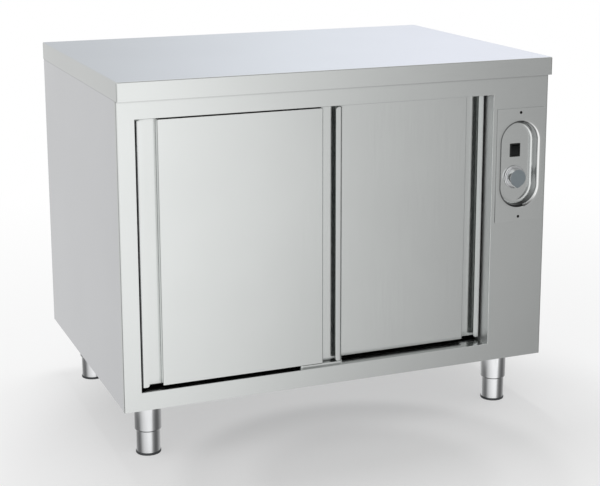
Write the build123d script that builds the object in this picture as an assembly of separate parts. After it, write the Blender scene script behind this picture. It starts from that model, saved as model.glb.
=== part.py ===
from build123d import *
import os
from math import acos, cos, radians, sin, tan

# A heated cupboard for plates: a worktop on a sheet-metal body with four legs, two doors that
# slide past each other, and a control column on the right. Millimetres. The origin is on the
# floor under the middle of the worktop: +X to the right, +Y to the back, +Z up.

# Overall size
WIDTH = 1000
DEPTH = 700
HEIGHT = 830
LEG_HEIGHT = 130
WORKTOP_HEIGHT = 40

# Sheet metal
SHEET = 1.0
WORKTOP_SHEET = 1.5
BEND = 1.0
FLANGE = 15
CLEAR = 0.3
RUNNING_FIT = 0.05

# Worktop
WORKTOP_CORNER = 3.0
WORKTOP_EDGE = 2.5
WORKTOP_RETURN = 20
CORE_BOARD = 18
STIFFENER_WIDTH = 90
STIFFENER_COUNT = 3
STIFFENER_BRIM = 18

# Body: how far it stands back from the worktop's edges, and its front frame
FRONT_SETBACK = 13.5
SIDE_SETBACK = 1.0
REAR_SETBACK = 3.0
STILE = 38
COLUMN = 139
TOP_RAIL = 40
BOTTOM_RAIL = 40
FRAME_RETURN = 12
FRAME_BEND = 2.0
HEAD_RETURN = 5
OPENING_EDGE = 0.8
PAN_FLANGE = 25

# Heated cavity
REAR_WALL = 25
CEILING_WALL = 25
SHELF_BACK_GAP = 21.5
SHELF_LEVEL = 285
SHELF_EDGE = 30
SHELF_SIDE_GAP = 2.5
SHELF_FRONT_GAP = 8
RAIL_ANGLE = 20
RAIL_SHEET = 1.5

# Doors
DOOR_SETBACK = 6
DOOR_THICKNESS = 25
DOOR_PASSING_GAP = 3
DOOR_END_GAP = 3.5
DOOR_TOP_GAP = 4
DOOR_BOTTOM_GAP = 8
GRIP_WIDTH = 45
GRIP_DEPTH = 16
LIP = 15
DOOR_OVERLAP = 95
DOOR_EDGE_BEND = 4
LIP_CORNER = 5
GROOVE_DEPTH = 14

# Hangers, rollers and top track
HANGER_INSET = 75
HANGER_WIDTH = 50
HANGER_SHEET = 2.5
HANGER_PLATE_BACK = 11
HANGER_FOOT = 13.5
HANGER_CORNER = 10
ROLLER_RADIUS = 12
ROLLER_WIDTH = 8
ROLLER_SIDE_GAP = 0.4
PIN_RADIUS = 3
PIN_HEAD_RADIUS = 5
PIN_HEAD = 1.5
TRACK_SHEET = 2
TRACK_WEB = 1.5
LEDGE_RISE = 7
SKIRT_GAP = 1
STOP_LENGTH = 18
STOP_THICKNESS = 7
STOP_DROP = 17

# Bottom guide
GUIDE_LENGTH = 100
GUIDE_BASE = 6
GUIDE_FRONT = 8
GUIDE_CORNER = 5
GUIDE_BACK = 56
FIN_LENGTH = 80
FIN_THICKNESS = 4
FIN_ENGAGEMENT = 10

# Control plate with its pressed bowl
PLATE_WIDTH = 120
PLATE_HEIGHT = 260
PLATE_SHEET = 1.2
PLATE_INSET = 69
PLATE_DROP = 203.5
PLATE_CORNER = 2.5
BOWL_WIDTH = 93
BOWL_HEIGHT = 193
BOWL_RISE = 1.5
BOWL_DEPTH = 22.5
BOWL_DRAFT = 5
BOWL_EDGE = 2
CUTOUT_MARGIN = 3

# Rocker switch
SWITCH_RISE = 30
BEZEL_WIDTH = 26
BEZEL_HEIGHT = 31
BEZEL_PROUD = 1.7
BEZEL_CORNER = 1.5
SWITCH_WIDTH = 22
SWITCH_HEIGHT = 27
SWITCH_BODY = 26
ROCKER_WIDTH = 19.8
ROCKER_HALF = 11.6
ROCKER_GAP = 0.3
ROCKER_POCKET = 11
ROCKER_PIVOT_DEPTH = 2.5
ROCKER_TILT = 8
PIVOT_RADIUS = 1.5

# Thermostat and knob
KNOB_DROP = 32
KNOB_RADIUS = 20
KNOB_TIP = 24
KNOB_TIP_FLAT = 2
KNOB_DRAFT = 7
KNOB_FACE_DEPTH = 3
KNOB_FACE_EDGE = 0.8
SKIRT_RADIUS = 27
SKIRT_STEP_RADIUS = 24.5
SKIRT_BASE = 2.5
SKIRT_STEP = 2.5
SKIRT_HOLE = 8
KNOB_STANDOFF = 0.5
SPINDLE_RADIUS = 3
SPINDLE_BURIED = 14
SPINDLE_IN_KNOB = 8
NECK_RADIUS = 5
NECK_PROUD = 3
THERMOSTAT_SIZE = 40
THERMOSTAT_BODY = 32
THERMOSTAT_CORNER = 3
CAPILLARY_RADIUS = 1.0
BULB_RADIUS = 3.5
BULB_LENGTH = 80
BULB_Y = -150
BULB_RISE = 330

# Heating unit behind the partition
FAN_Y = 60
FAN_RISE = 160
DUCT_DEPTH = 55
DUCT_SIZE = 220
DUCT_FLANGE = 12
IMPELLER_RADIUS = 68
IMPELLER_WIDTH = 36
IMPELLER_GAP = 8
IMPELLER_SHEET = 1.5
BLADE_COUNT = 8
BLADE_ROOT = 34
BLADE_SWEEP = 30
HUB_RADIUS = 9
FAN_SHAFT_RADIUS = 3
FAN_SHAFT_BURIED = 44
MOTOR_RADIUS = 38
MOTOR_LENGTH = 50
HEATER_HALF = 84
HEATER_ENDS = 60
HEATER_TUBE_RADIUS = 4
HEATER_LEG = 45
INLET_RADIUS = 56
SLOT_HEIGHT = 7
SLOT_PITCH = 20
OUTLET_RADIUS = 92
OUTLET_SLOT_LENGTH = 120

# Wiring
TERMINAL_FROM_GLAND = 135
TERMINAL_LENGTH = 60
TERMINAL_WIDTH = 24
TERMINAL_HEIGHT = 20
TERMINAL_WAYS = 5
LOOM_RADIUS = 4
GLAND_INSET = 47
GLAND_BORE = 5
GLAND_THREAD = 10
GLAND_HEX = 12
GLAND_DOME = 11
GLAND_BELOW = 19
GLAND_ABOVE = 16

# Legs and feet
LEG_INSET_SIDE = 74
LEG_INSET_FRONT = 102
LEG_INSET_BACK = 93
SLEEVE_RADIUS = 30
SLEEVE_BOTTOM = 54
SLEEVE_EDGE = 2.5
SLEEVE_CAP = 3
STUD_RADIUS = 5
STUD_LENGTH = 16
LEG_PLATE_SIZE = 46
LEG_PLATE = 8
TUBE_RADIUS = 26.5
TUBE_TOP = 112
PAD_RADIUS = 27.5
PAD_HEIGHT = 5

# Places worked out from the sizes above
BODY_TOP = HEIGHT - WORKTOP_HEIGHT
SIDE_X = WIDTH / 2 - SIDE_SETBACK
FRONT_Y = -DEPTH / 2 + FRONT_SETBACK
BACK_Y = DEPTH / 2 - REAR_SETBACK
PANEL_BACK_Y = BACK_Y - SHEET
OPENING_LEFT = -SIDE_X + STILE
OPENING_RIGHT = SIDE_X - COLUMN
OPENING_BOTTOM = LEG_HEIGHT + BOTTOM_RAIL
OPENING_TOP = BODY_TOP - TOP_RAIL
OPENING_WIDTH = OPENING_RIGHT - OPENING_LEFT

DOOR_PITCH = DOOR_THICKNESS + DOOR_PASSING_GAP
DOOR_WIDTH = (OPENING_WIDTH - 2 * DOOR_END_GAP + DOOR_OVERLAP) / 2
DOOR_BOTTOM = OPENING_BOTTOM + DOOR_BOTTOM_GAP
DOOR_TOP = OPENING_TOP - DOOR_TOP_GAP
GRIP_BACK = GRIP_DEPTH + SHEET
GRIP_WALL = GRIP_WIDTH + SHEET
FRONT_DOOR_X = OPENING_LEFT + DOOR_END_GAP
REAR_DOOR_X = OPENING_RIGHT - DOOR_END_GAP - DOOR_WIDTH
FRONT_DOOR_Y = FRONT_Y + DOOR_SETBACK
REAR_DOOR_Y = FRONT_DOOR_Y + DOOR_PITCH
FIN_LINE = (GRIP_BACK + DOOR_THICKNESS - SHEET) / 2

ROLLER_LINE = HANGER_PLATE_BACK + ROLLER_SIDE_GAP + ROLLER_WIDTH / 2
LEDGE_Z = OPENING_TOP + LEDGE_RISE
ROLLER_Z = LEDGE_Z + ROLLER_RADIUS + CLEAR
TRACK_TOP = BODY_TOP - SHEET

JAMB_DEPTH = DOOR_SETBACK + DOOR_PITCH + DOOR_THICKNESS + DOOR_PASSING_GAP
CAVITY_FRONT = FRONT_Y + JAMB_DEPTH
CAVITY_BACK = BACK_Y - REAR_WALL
CEILING_Z = BODY_TOP - CEILING_WALL
SHELF_TOP = OPENING_BOTTOM + SHELF_LEVEL
SHELF_BACK = CAVITY_BACK - SHELF_BACK_GAP
PAN_Z = LEG_HEIGHT + SHEET
PARTITION_BACK_X = OPENING_RIGHT + SHEET

PLATE_CENTRE_X = SIDE_X - PLATE_INSET
PLATE_CENTRE_Z = BODY_TOP - PLATE_DROP
BOWL_CENTRE_Z = PLATE_CENTRE_Z + BOWL_RISE
PLATE_FACE_Y = FRONT_Y - PLATE_SHEET
BOWL_FLOOR_Y = PLATE_FACE_Y + BOWL_DEPTH
BOWL_REAR_Y = BOWL_FLOOR_Y + PLATE_SHEET
SWITCH_Z = PLATE_CENTRE_Z + SWITCH_RISE
KNOB_Z = PLATE_CENTRE_Z - KNOB_DROP
BULB_Z = OPENING_BOTTOM + BULB_RISE
FAN_Z = OPENING_BOTTOM + FAN_RISE
DUCT_BACK_X = PARTITION_BACK_X + DUCT_DEPTH
GLAND_Y = BACK_Y - GLAND_INSET
TERMINAL_Y = GLAND_Y - TERMINAL_FROM_GLAND


def block(x, y, z):
    """Box between two limits along each axis."""
    centre = ((x[0] + x[1]) / 2, (y[0] + y[1]) / 2, (z[0] + z[1]) / 2)
    return Pos(*centre) * Box(x[1] - x[0], y[1] - y[0], z[1] - z[0])


def along_x(section, start, end):
    """A Y-Z section drawn out along X."""
    return extrude(Plane.YZ.offset(start) * section, amount=end - start)


def along_y(section, start, end):
    """An X-Z section drawn out along Y."""
    return extrude(Plane.XZ.offset(-start) * section, amount=start - end)


def along_z(section, start, end):
    """An X-Y section drawn out along Z."""
    return extrude(Plane.XY.offset(start) * section, amount=end - start)


def rod_x(y, z, radius, start, end):
    return along_x(Pos(y, z) * Circle(radius), start, end)


def rod_y(x, z, radius, start, end):
    return along_y(Pos(x, z) * Circle(radius), start, end)


def rod_z(x, y, radius, start, end):
    return along_z(Pos(x, y) * Circle(radius), start, end)


def folded_section(path, thickness=SHEET, bend=BEND):
    """Section of a folded sheet with its metal on the right of the path, bends rounded.

    bend is the inner radius, one for all corners of the path or a list with one for each.
    """
    points = [Vector(*point) for point in path]
    bends = bend if isinstance(bend, list) else [bend] * (len(path) - 2)
    runs = [(end - start).normalized() for start, end in zip(points, points[1:])]
    sides = [Vector(run.Y, -run.X) for run in runs]
    other_face = [points[0] + sides[0] * thickness]
    path_radii = []
    other_radii = []
    for corner, before, after, inner in zip(points[1:], sides, sides[1:], bends):
        other_face.append(corner + (before + after) * (thickness / (1 + before.dot(after))))
        metal_inside = before.cross(after).Z < 0
        path_radii.append(inner + thickness if metal_inside else inner)
        other_radii.append(inner if metal_inside else inner + thickness)
    other_face.append(points[-1] + sides[-1] * thickness)
    radii = [0, *path_radii, 0, 0, *reversed(other_radii), 0]
    return make_face(FilletPolyline(*points, *reversed(other_face), radius=radii, close=True))


def edges_at_front(shape, y, x, z):
    """Edges in the plane y whose middles lie between the limits in X and Z."""
    return shape.edges().filter_by_position(Axis.Y, y, y).filter_by_position(
        Axis.X, *x).filter_by_position(Axis.Z, *z)


# Worktop

def worktop_shell():
    """Sheet folded down on all four sides, with a return turned in along the bottom."""
    block_top = Pos(0, 0, HEIGHT - WORKTOP_HEIGHT / 2) * Box(WIDTH, DEPTH, WORKTOP_HEIGHT)
    rounded = fillet(block_top.edges().filter_by(Axis.Z), WORKTOP_CORNER)
    rounded = fillet(rounded.faces().sort_by(Axis.Z)[-1].edges(), WORKTOP_EDGE)
    inner_x = WIDTH / 2 - WORKTOP_SHEET
    inner_y = DEPTH / 2 - WORKTOP_SHEET
    skin = rounded - block((-inner_x, inner_x), (-inner_y, inner_y), (BODY_TOP, HEIGHT - WORKTOP_SHEET))
    ring = Rectangle(2 * inner_x, 2 * inner_y)
    ring -= Rectangle(WIDTH - 2 * WORKTOP_RETURN, DEPTH - 2 * WORKTOP_RETURN)
    return skin + along_z(ring, BODY_TOP, BODY_TOP + WORKTOP_SHEET)


def worktop_core():
    """Board glued under the sheet."""
    edge = max(WORKTOP_SHEET, WORKTOP_EDGE) + CLEAR
    top = HEIGHT - WORKTOP_SHEET
    board = RectangleRounded(WIDTH - 2 * edge, DEPTH - 2 * edge, WORKTOP_CORNER)
    return along_z(board, top - CORE_BOARD, top)


def worktop_stiffeners():
    """Hat channels between the board and the turned-in returns."""
    bottom = BODY_TOP + WORKTOP_SHEET
    top = HEIGHT - WORKTOP_SHEET - CORE_BOARD
    half = STIFFENER_WIDTH / 2
    wall = half - STIFFENER_BRIM
    length = WIDTH / 2 - WORKTOP_SHEET - CLEAR
    hat = rectangle((-wall, wall), (top - SHEET, top))
    for side in (-1, 1):
        hat += rectangle(sorted((side * wall, side * (wall - SHEET))), (bottom, top))
        hat += rectangle(sorted((side * (wall - SHEET), side * half)), (bottom, bottom + SHEET))
    pitch = DEPTH / (STIFFENER_COUNT + 1)
    places = [pitch * (i + 1) - DEPTH / 2 for i in range(STIFFENER_COUNT)]
    return Compound([along_x(Pos(y, 0) * hat, -length, length) for y in places])


# Body

def front_frame():
    """One sheet: corners folded back, flanges top and bottom, door opening with deep jambs."""
    rear = FRONT_Y + FRAME_RETURN
    path = [(SIDE_X, rear), (SIDE_X, FRONT_Y), (-SIDE_X, FRONT_Y), (-SIDE_X, rear)]
    sheet = along_z(folded_section(path, bend=FRAME_BEND), LEG_HEIGHT, BODY_TOP)
    flange_end = SIDE_X - FLANGE - CLEAR
    flange_y = (FRONT_Y + SHEET / 2, FRONT_Y + FLANGE)
    sheet += block((-flange_end, flange_end), flange_y, (LEG_HEIGHT, LEG_HEIGHT + SHEET))
    sheet += block((-flange_end, flange_end), flange_y, (BODY_TOP - SHEET, BODY_TOP))
    margin = 5 * SHEET
    around_x = (OPENING_LEFT - margin, OPENING_RIGHT + margin)
    around_z = (OPENING_BOTTOM - margin, OPENING_TOP + margin)
    through = (FRONT_Y - SHEET, FRONT_Y + 2 * SHEET)
    sheet -= block(around_x, through, around_z)
    sheet -= along_y(bowl_outline(CUTOUT_MARGIN + PLATE_SHEET), *through)
    return sheet + opening_rim(around_x, around_z)


def opening_rim(around_x, around_z):
    """Part of the frame next to the door opening: sill and jambs turned in, short head return."""
    opening_x = (OPENING_LEFT, OPENING_RIGHT)
    opening_z = (OPENING_BOTTOM, OPENING_TOP)
    sleeve_x = (OPENING_LEFT - SHEET, OPENING_RIGHT + SHEET)
    rim = block(around_x, (FRONT_Y, FRONT_Y + SHEET), around_z)
    rim += block(sleeve_x, (FRONT_Y, CAVITY_FRONT), (OPENING_BOTTOM - SHEET, OPENING_TOP))
    rim += block(sleeve_x, (FRONT_Y, FRONT_Y + HEAD_RETURN), (OPENING_TOP, OPENING_TOP + SHEET))
    rim -= block(opening_x, (FRONT_Y - SHEET, CAVITY_FRONT + SHEET), opening_z)
    return fillet(edges_at_front(rim, FRONT_Y, opening_x, opening_z), OPENING_EDGE)


def side_panel():
    """Left side: flanges turned in at the top, the bottom and the rear."""
    start = FRONT_Y + FRAME_RETURN
    inner = -SIDE_X + FLANGE
    path = [(inner, LEG_HEIGHT), (-SIDE_X, LEG_HEIGHT), (-SIDE_X, BODY_TOP), (inner, BODY_TOP)]
    panel = along_y(folded_section(path), start, PANEL_BACK_Y)
    rear = block((-SIDE_X + SHEET / 2, inner), (PANEL_BACK_Y - SHEET, PANEL_BACK_Y),
                 (LEG_HEIGHT + FLANGE, BODY_TOP - FLANGE))
    return panel + rear


def back_panel():
    """Flat sheet over the rear flanges."""
    return block((-SIDE_X, SIDE_X), (PANEL_BACK_Y, BACK_Y), (LEG_HEIGHT, BODY_TOP))


def leg_places():
    x = WIDTH / 2 - LEG_INSET_SIDE
    front = -DEPTH / 2 + LEG_INSET_FRONT
    back = DEPTH / 2 - LEG_INSET_BACK
    return {"front_left": (-x, front), "front_right": (x, front),
            "back_left": (-x, back), "back_right": (x, back)}


def base_pan():
    """Floor tray of the body, on the flanges of the frame and the side panels."""
    x = SIDE_X - SHEET - BEND - CLEAR
    front = FRONT_Y + SHEET + CLEAR
    back = PANEL_BACK_Y - SHEET - CLEAR
    tray = block((-x, x), (front, back), (PAN_Z, PAN_Z + PAN_FLANGE))
    tray = offset(tray, amount=-SHEET, openings=tray.faces().sort_by(Axis.Z)[-1])
    for x, y in leg_places().values():
        tray -= rod_z(x, y, STUD_RADIUS + CLEAR, PAN_Z - SHEET, PAN_Z + 2 * SHEET)
    gland = rod_z(PLATE_CENTRE_X, GLAND_Y, GLAND_THREAD + CLEAR, PAN_Z - SHEET, PAN_Z + 2 * SHEET)
    return tray - gland


# Heated cavity

def left_liner():
    return block((OPENING_LEFT - SHEET, OPENING_LEFT), (CAVITY_FRONT, CAVITY_BACK + SHEET),
                 (OPENING_BOTTOM - SHEET, CEILING_Z + SHEET))


def partition():
    """Right cavity wall, with the fan's inlet slots and an outlet row above and below."""
    wall = block((OPENING_RIGHT, PARTITION_BACK_X), (CAVITY_FRONT, CAVITY_BACK + SHEET),
                 (OPENING_BOTTOM - SHEET, CEILING_Z + SHEET))
    rows = int(INLET_RADIUS / SLOT_PITCH)
    slots = [(row * SLOT_PITCH, 2 * (INLET_RADIUS ** 2 - (row * SLOT_PITCH) ** 2) ** 0.5)
             for row in range(-rows, rows + 1)]
    slots += [(side * OUTLET_RADIUS, OUTLET_SLOT_LENGTH) for side in (-1, 1)]
    for rise, length in slots:
        slot = Pos(FAN_Y, FAN_Z + rise) * Rectangle(length, SLOT_HEIGHT)
        wall -= along_x(slot, OPENING_RIGHT - SHEET, PARTITION_BACK_X + SHEET)
    return wall


def rear_liner():
    return block((OPENING_LEFT, OPENING_RIGHT), (CAVITY_BACK, CAVITY_BACK + SHEET),
                 (OPENING_BOTTOM, CEILING_Z))


def ceiling_liner():
    return block((OPENING_LEFT, OPENING_RIGHT), (CAVITY_FRONT, CAVITY_BACK + SHEET),
                 (CEILING_Z, CEILING_Z + SHEET))


def deck():
    return block((OPENING_LEFT, OPENING_RIGHT), (CAVITY_FRONT, CAVITY_BACK + SHEET),
                 (OPENING_BOTTOM - SHEET, OPENING_BOTTOM))


def insulation():
    """Slabs outside the left, rear, top and bottom walls of the cavity."""
    low = PAN_Z + SHEET + CLEAR
    high = BODY_TOP - SHEET - CLEAR
    front = FRONT_Y + FRAME_RETURN + CLEAR
    rear = PANEL_BACK_Y - 2 * SHEET - 2 * CLEAR
    liner_back = CAVITY_BACK + SHEET + CLEAR
    left = block((-SIDE_X + 2 * SHEET + BEND + 2 * CLEAR, OPENING_LEFT - SHEET - CLEAR), (front, rear),
                 (low, high))
    back = block((OPENING_LEFT, OPENING_RIGHT), (liner_back, rear), (low, high))
    top = block((OPENING_LEFT, OPENING_RIGHT), (CAVITY_FRONT, CAVITY_BACK),
                (CEILING_Z + SHEET + CLEAR, high))
    bottom = block((OPENING_LEFT, OPENING_RIGHT), (front, CAVITY_BACK),
                   (low, OPENING_BOTTOM - SHEET - CLEAR))
    for corner in ("front_left", "back_left"):
        x, y = leg_places()[corner]
        half = LEG_PLATE_SIZE / 2 + CLEAR
        bottom -= block((x - half, x + half), (y - half, y + half), (low, PAN_Z + STUD_LENGTH + CLEAR))
    return Compound([left, back, top, bottom])


def shelf():
    """Plain shelf with its four edges turned down."""
    x = (OPENING_LEFT + SHELF_SIDE_GAP, OPENING_RIGHT - SHELF_SIDE_GAP)
    tray = block(x, (CAVITY_FRONT + SHELF_FRONT_GAP, SHELF_BACK), (SHELF_TOP - SHELF_EDGE, SHELF_TOP))
    long_edges = tray.faces().sort_by(Axis.Z)[-1].edges().filter_by(Axis.X)
    tray = fillet(long_edges, BEND + SHEET)
    return offset(tray, amount=-SHEET, openings=tray.faces().sort_by(Axis.Z)[0])


def shelf_rails():
    """Two angles on the side walls that the shelf's turned-down edges stand on."""
    seat = SHELF_TOP - SHELF_EDGE
    start = CAVITY_FRONT + SHELF_FRONT_GAP
    path = [(OPENING_LEFT + RAIL_ANGLE, seat - RAIL_SHEET), (OPENING_LEFT, seat - RAIL_SHEET),
            (OPENING_LEFT, seat + RAIL_ANGLE / 2)]
    left = along_y(folded_section(path, RAIL_SHEET, CLEAR), start, SHELF_BACK)
    centre = (OPENING_LEFT + OPENING_RIGHT) / 2
    right = mirror(left, about=Plane.YZ.offset(centre))
    return Compound([left, right])


# Doors. Each is modelled with its left end at x = 0 and its face at y = 0, then put in its lane.

def door_skin():
    """Outer sheet: flat front, a full-height grip channel with a rounded, turned-in lip at each end."""
    right = DOOR_WIDTH
    path = [(LIP, 0), (0, 0), (0, GRIP_BACK), (GRIP_WALL, GRIP_BACK), (GRIP_WALL, SHEET),
            (right - GRIP_WALL, SHEET), (right - GRIP_WALL, GRIP_BACK), (right, GRIP_BACK),
            (right, 0), (right - LIP, 0)]
    bends = [DOOR_EDGE_BEND, *[BEND] * (len(path) - 4), DOOR_EDGE_BEND]
    skin = along_z(folded_section(path, bend=bends), DOOR_BOTTOM, DOOR_TOP)
    from_middle = right / 2 - LIP
    lip_corners = [edge for edge in skin.edges().filter_by(Axis.Y) if edge.center().Y < SHEET
                   and abs(abs(edge.center().X - right / 2) - from_middle) < CLEAR]
    skin = fillet(lip_corners, LIP_CORNER)
    ends = (GRIP_WALL - SHEET / 2, right - GRIP_WALL + SHEET / 2)
    top = block(ends, (SHEET / 2, DOOR_THICKNESS - SHEET), (DOOR_TOP - SHEET, DOOR_TOP))
    groove_path = [(GRIP_BACK, DOOR_BOTTOM + GROOVE_DEPTH), (GRIP_BACK, DOOR_BOTTOM),
                   (SHEET / 2, DOOR_BOTTOM)]
    return skin + top + along_x(folded_section(groove_path), *ends)


def door_liner():
    """Inner sheet: closes the back and, behind the grips, the top; open along the groove."""
    front = GRIP_BACK + CLEAR
    path = [(0, front), (0, DOOR_THICKNESS), (DOOR_WIDTH, DOOR_THICKNESS), (DOOR_WIDTH, front)]
    liner = along_z(folded_section(path), DOOR_BOTTOM, DOOR_TOP)
    cap_y = (front, DOOR_THICKNESS - SHEET / 2)
    cap_z = (DOOR_TOP - SHEET, DOOR_TOP)
    inner_end = GRIP_WALL - SHEET / 2 - CLEAR
    liner += block((SHEET / 2, inner_end), cap_y, cap_z)
    return liner + block((DOOR_WIDTH - inner_end, DOOR_WIDTH - SHEET / 2), cap_y, cap_z)


def door_core():
    """Insulation between the two sheets, stepped over the guide groove."""
    front = SHEET + CLEAR
    step = GRIP_DEPTH - CLEAR
    back = DOOR_THICKNESS - SHEET - CLEAR
    low = DOOR_BOTTOM + SHEET + CLEAR
    over_groove = DOOR_BOTTOM + GROOVE_DEPTH + SHEET
    high = DOOR_TOP - SHEET - CLEAR
    outline = Polyline((front, low), (step, low), (step, over_groove), (back, over_groove),
                       (back, high), (front, high), close=True)
    return along_x(make_face(outline), GRIP_WALL + CLEAR, DOOR_WIDTH - GRIP_WALL - CLEAR)


def hanger_places():
    return {"left": HANGER_INSET, "right": DOOR_WIDTH - HANGER_INSET}


def door_hangers():
    """Two angle plates on the door's top, each with the headed pin of its roller."""
    front = HANGER_PLATE_BACK - HANGER_SHEET
    top = ROLLER_Z + ROLLER_RADIUS - PIN_RADIUS
    path = [(front + HANGER_FOOT, DOOR_TOP), (front, DOOR_TOP), (front, top)]
    section = folded_section(path, HANGER_SHEET, BEND)
    pin_end = HANGER_PLATE_BACK + ROLLER_WIDTH + 2 * ROLLER_SIDE_GAP
    hangers = []
    for x in hanger_places().values():
        plate = along_x(section, x - HANGER_WIDTH / 2, x + HANGER_WIDTH / 2)
        corners = plate.faces().sort_by(Axis.Z)[-1].edges().filter_by(Axis.Y)
        plate = chamfer(corners, HANGER_CORNER)
        plate += rod_y(x, ROLLER_Z, PIN_RADIUS, front, pin_end)
        hangers.append(plate + rod_y(x, ROLLER_Z, PIN_HEAD_RADIUS, pin_end, pin_end + PIN_HEAD))
    return Compound(hangers)


def roller(x):
    """Nylon roller that runs on the ledge of the track."""
    start = ROLLER_LINE - ROLLER_WIDTH / 2
    wheel = rod_y(x, ROLLER_Z, ROLLER_RADIUS, start, start + ROLLER_WIDTH)
    return wheel - rod_y(x, ROLLER_Z, PIN_RADIUS + RUNNING_FIT, start, start + ROLLER_WIDTH)


# Track, stops and guide

def top_track():
    """Double hanging track: top plate, front skirt, and a web with its ledge for each door."""
    plate_bottom = TRACK_TOP - TRACK_SHEET
    web_front = DOOR_THICKNESS
    rear = DOOR_PITCH + web_front + TRACK_WEB
    section = rectangle((-SKIRT_GAP, rear), (plate_bottom, TRACK_TOP))
    section += rectangle((-SKIRT_GAP, -SKIRT_GAP + TRACK_WEB), (LEDGE_Z, TRACK_TOP))
    for lane in (0, DOOR_PITCH):
        web = (lane + web_front, lane + web_front + TRACK_WEB)
        ledge = (lane + HANGER_PLATE_BACK + 2 * CLEAR, lane + web_front + TRACK_WEB)
        section += rectangle(web, (LEDGE_Z - TRACK_SHEET, TRACK_TOP))
        section += rectangle(ledge, (LEDGE_Z - TRACK_SHEET, LEDGE_Z))
    return along_x(Pos(FRONT_DOOR_Y, 0) * section, OPENING_LEFT, OPENING_RIGHT)


def rectangle(across, up):
    """Rectangle between two limits each way."""
    centre = ((across[0] + across[1]) / 2, (up[0] + up[1]) / 2)
    return Pos(*centre) * Rectangle(across[1] - across[0], up[1] - up[0])


def door_stops():
    """Rubber buffers under the track's top plate, where the hangers arrive."""
    edge = DOOR_END_GAP + HANGER_INSET - HANGER_WIDTH / 2 - CLEAR
    left = (OPENING_LEFT + edge - STOP_LENGTH, OPENING_LEFT + edge)
    right = (OPENING_RIGHT - edge, OPENING_RIGHT - edge + STOP_LENGTH)
    top = TRACK_TOP - TRACK_SHEET
    middle = HANGER_PLATE_BACK - HANGER_SHEET / 2
    stops = []
    for door_y in (FRONT_DOOR_Y, REAR_DOOR_Y):
        y = (door_y + middle - STOP_THICKNESS / 2, door_y + middle + STOP_THICKNESS / 2)
        for x in (left, right):
            buffer = block(x, y, (top - STOP_DROP, top))
            stops.append(fillet(buffer.faces().sort_by(Axis.Z)[0].edges(), BEND))
    return Compound(stops)


def bottom_guide():
    """Block on the sill with a fin in each door's groove."""
    centre = (FRONT_DOOR_X + DOOR_WIDTH + REAR_DOOR_X) / 2
    middle = (GUIDE_FRONT + GUIDE_BACK) / 2
    base = RectangleRounded(GUIDE_LENGTH, GUIDE_BACK - GUIDE_FRONT, GUIDE_CORNER)
    guide = along_z(Pos(centre, FRONT_Y + middle) * base, OPENING_BOTTOM, OPENING_BOTTOM + GUIDE_BASE)
    for door_y in (FRONT_DOOR_Y, REAR_DOOR_Y):
        fin = Pos(centre, door_y + FIN_LINE) * SlotOverall(FIN_LENGTH, FIN_THICKNESS)
        guide += along_z(fin, OPENING_BOTTOM, DOOR_BOTTOM + FIN_ENGAGEMENT)
    return guide


# Control plate, switch, thermostat and knob

def bowl_outline(margin=0):
    """Upright stadium round the controls, grown by margin."""
    slot = SlotOverall(BOWL_HEIGHT + 2 * margin, BOWL_WIDTH + 2 * margin, rotation=90)
    return Pos(PLATE_CENTRE_X, BOWL_CENTRE_Z) * slot


def control_plate():
    """Thin plate with a deep-drawn bowl: drafted walls, eased rim and floor."""
    outline = RectangleRounded(PLATE_WIDTH, PLATE_HEIGHT, PLATE_CORNER)
    plate = along_y(Pos(PLATE_CENTRE_X, PLATE_CENTRE_Z) * outline, PLATE_FACE_Y, FRONT_Y)
    face = Plane.XZ.offset(-PLATE_FACE_Y)
    hollow = extrude(face * bowl_outline(), amount=-BOWL_DEPTH, taper=BOWL_DRAFT)
    drawn = extrude(face * bowl_outline(PLATE_SHEET), amount=-BOWL_DEPTH - PLATE_SHEET, taper=BOWL_DRAFT)
    hollow = chamfer(hollow.faces().sort_by(Axis.Y)[-1].edges(), BOWL_EDGE)
    plate = plate + drawn - hollow
    half_width = BOWL_WIDTH / 2 + SHEET
    half_height = BOWL_HEIGHT / 2 + SHEET
    rim = edges_at_front(plate, PLATE_FACE_Y, (PLATE_CENTRE_X - half_width, PLATE_CENTRE_X + half_width),
                         (BOWL_CENTRE_Z - half_height, BOWL_CENTRE_Z + half_height))
    plate = chamfer(rim, PLATE_SHEET - CLEAR, BOWL_EDGE)
    through = (PLATE_FACE_Y - SHEET, BOWL_REAR_Y + SHEET)
    opening = Pos(PLATE_CENTRE_X, SWITCH_Z) * Rectangle(SWITCH_WIDTH + 2 * CLEAR, SWITCH_HEIGHT + 2 * CLEAR)
    plate -= along_y(opening, *through)
    return plate - rod_y(PLATE_CENTRE_X, KNOB_Z, NECK_RADIUS + CLEAR, *through)


def switch_housing():
    """Snap-in housing with a bezel, a pocket for the rocker and its two pivot holes."""
    front = BOWL_FLOOR_Y - BEZEL_PROUD
    place = Pos(PLATE_CENTRE_X, SWITCH_Z)
    bezel = along_y(place * RectangleRounded(BEZEL_WIDTH, BEZEL_HEIGHT, BEZEL_CORNER), front, BOWL_FLOOR_Y)
    bezel = chamfer(bezel.faces().sort_by(Axis.Y)[0].edges(), BEZEL_PROUD / 3)
    body = along_y(place * Rectangle(SWITCH_WIDTH, SWITCH_HEIGHT), BOWL_FLOOR_Y, BOWL_FLOOR_Y + SWITCH_BODY)
    pocket = place * Rectangle(ROCKER_WIDTH + 2 * ROCKER_GAP, SWITCH_HEIGHT - 2 * SHEET + 2 * CLEAR)
    housing = bezel + body - along_y(pocket, front - SHEET, front + ROCKER_POCKET)
    pivot_y = front + ROCKER_PIVOT_DEPTH
    across = (PLATE_CENTRE_X - SWITCH_WIDTH / 2, PLATE_CENTRE_X + SWITCH_WIDTH / 2)
    return housing - rod_x(pivot_y, SWITCH_Z, PIVOT_RADIUS + RUNNING_FIT, *across)


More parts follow.
